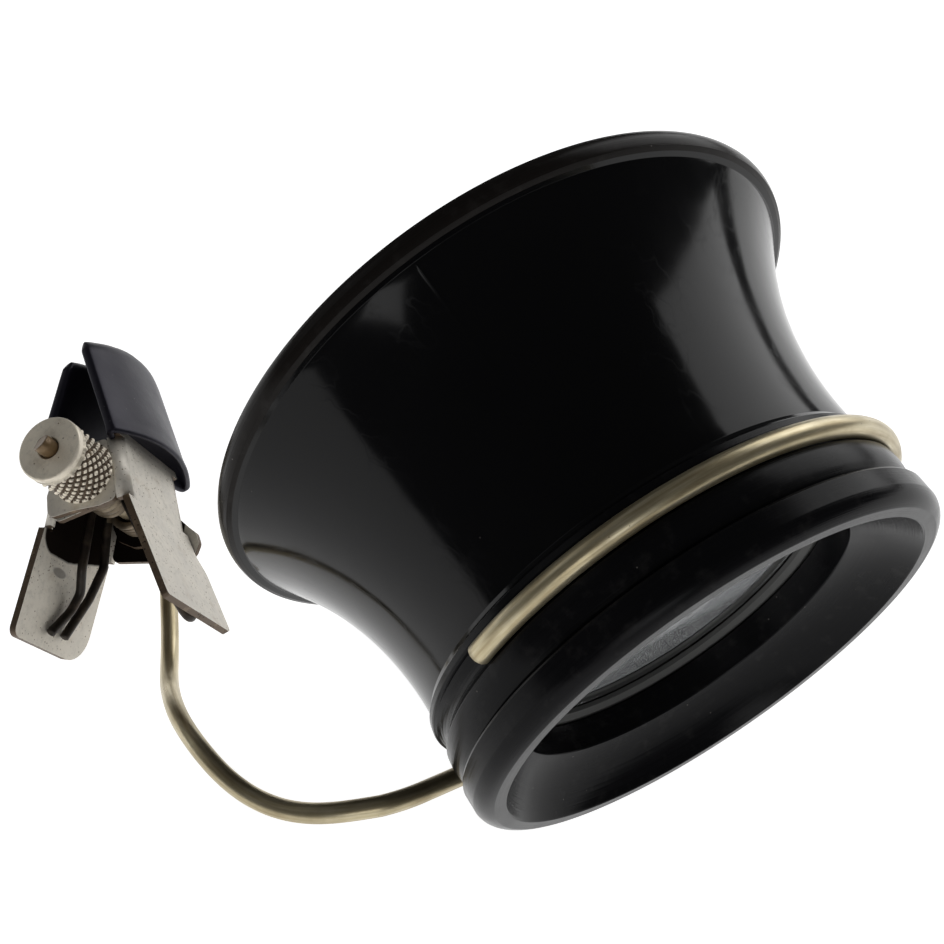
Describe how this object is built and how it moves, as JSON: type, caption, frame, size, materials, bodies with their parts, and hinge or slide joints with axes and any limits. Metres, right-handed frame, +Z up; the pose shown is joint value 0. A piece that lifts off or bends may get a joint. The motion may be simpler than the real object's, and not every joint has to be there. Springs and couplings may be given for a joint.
{
  "type": "eye loupe on a sprung spectacle clip",
  "caption": "Black flared eyecup loupe with a screwed lens ring, held by a bent brass wire frame on a small sprung spectacle clip with vinyl-covered jaws.",
  "frame": {"origin": "centre of the object's outer box in X and Y, on the surface it lies on", "axes": "+Z up from the surface, +Y along the surface from the lens end of the cup to its eye end, +X from the clip's side to the other side of the cup"},
  "size_m": [0.0494, 0.0473, 0.0377],
  "materials": {
    "cup_black": "polished black moulded plastic",
    "ring_black": "satin black turned plastic",
    "lens_glass": "clear polished optical glass",
    "retainer_black": "black turned plastic",
    "wire_brass": "aged drawn brass wire",
    "plate_nickel": "worn nickel plate with fine pitting",
    "nut_nickel": "nickel-plated, diamond-knurled",
    "tube_brass": "dull brass",
    "sleeve_vinyl": "soft black vinyl with a slight sheen",
    "spring_steel": "dark oxidised spring steel"
  },
  "bodies": {
    "cup": {"eyecup": "cup_black", "retaining_ring": "retainer_black", "lens": "lens_glass"},
    "ring": {"front_ring": "ring_black"},
    "wire": {"wire_frame": "wire_brass"},
    "nut": {"thumb_nut": "nut_nickel"},
    "clip": {"front_clip_plate": "plate_nickel", "front_jaw_sleeve": "sleeve_vinyl", "pivot_tube": "tube_brass", "torsion_spring": "spring_steel"},
    "rear_jaw": {"rear_clip_plate": "plate_nickel", "rear_jaw_sleeve": "sleeve_vinyl"}
  },
  "joints": [
    {"name": "front_ring_turn", "type": "hinge", "parent": "cup", "child": "ring", "pos_m": [0.00541, -0.02048, 0.0142], "axis": [0, 0.9756, 0.2197], "range_deg": [0, 1440]},
    {"name": "wire_turn", "type": "hinge", "parent": "cup", "child": "wire", "pos_m": [0.00541, -0.02048, 0.0142], "axis": [0, 0.9756, 0.2197], "continuous": true},
    {"name": "nut_turn", "type": "hinge", "parent": "wire", "child": "nut", "pos_m": [-0.01756, 0.01351, 0.01224], "axis": [0.4825, 0.1755, -0.8581], "continuous": true},
    {"name": "clip_swivel", "type": "hinge", "parent": "wire", "child": "clip", "pos_m": [-0.01756, 0.01351, 0.01224], "axis": [0.4825, 0.1755, -0.8581], "range_deg": [-135, 150]},
    {"name": "jaw_open", "type": "hinge", "parent": "clip", "child": "rear_jaw", "pos_m": [-0.01756, 0.01351, 0.01224], "axis": [-0.4825, -0.1755, 0.8581], "range_deg": [0, 28], "stiffness_Nm_per_rad": 0.02, "springref_deg": -57.3, "deforming": ["torsion_spring"]}
  ]
}
